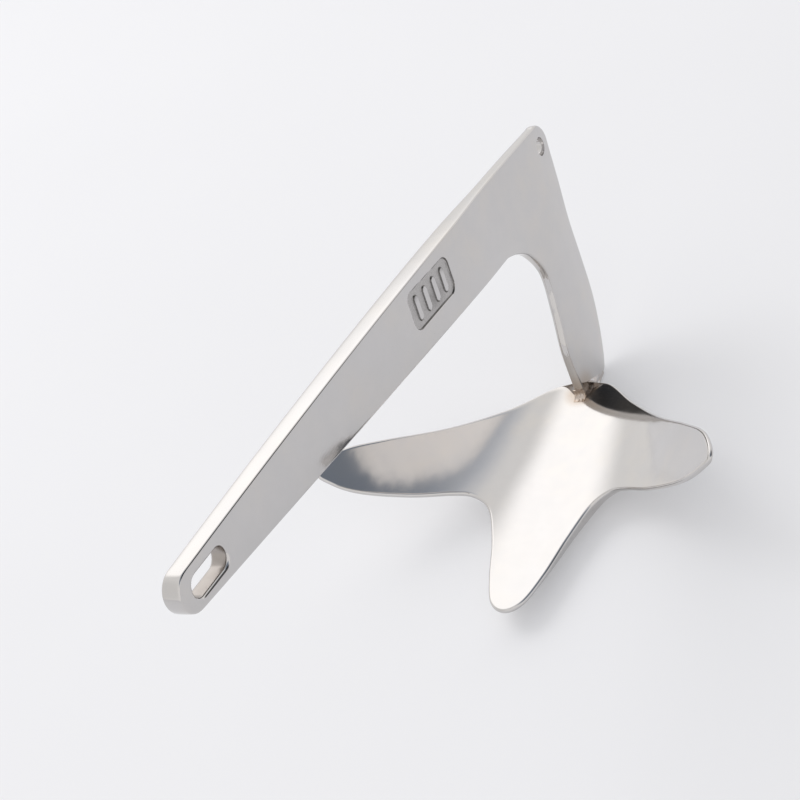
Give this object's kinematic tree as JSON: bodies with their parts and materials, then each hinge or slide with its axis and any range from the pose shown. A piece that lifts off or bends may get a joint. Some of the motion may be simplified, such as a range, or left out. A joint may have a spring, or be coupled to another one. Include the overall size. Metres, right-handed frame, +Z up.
{
  "type": "boat anchor",
  "caption": "Claw anchor: flat knee-shaped shank with a shackle slot and a trip-line hole, welded on a curved plate with three rounded palms.",
  "frame": {"origin": "middle of the bounding box in plan, on the plane that the crown stands on", "axes": "+X from the crown toward the shackle eye, +Y across the side palms, +Z up; the shank lies in the XZ plane, which is the symmetry plane of the claw"},
  "size_m": [0.3462, 0.204, 0.2032],
  "materials": {
    "polished_shank": "mirror-polished stainless steel",
    "polished_claw": "mirror-polished stainless steel",
    "weld_metal": "dressed weld with a faint heat tint"
  },
  "bodies": {
    "root": {"shank": "polished_shank", "claw": "polished_claw", "weld_right": "weld_metal", "weld_left": "weld_metal", "weld_front": "weld_metal", "weld_under": "weld_metal"}
  },
  "joints": []
}
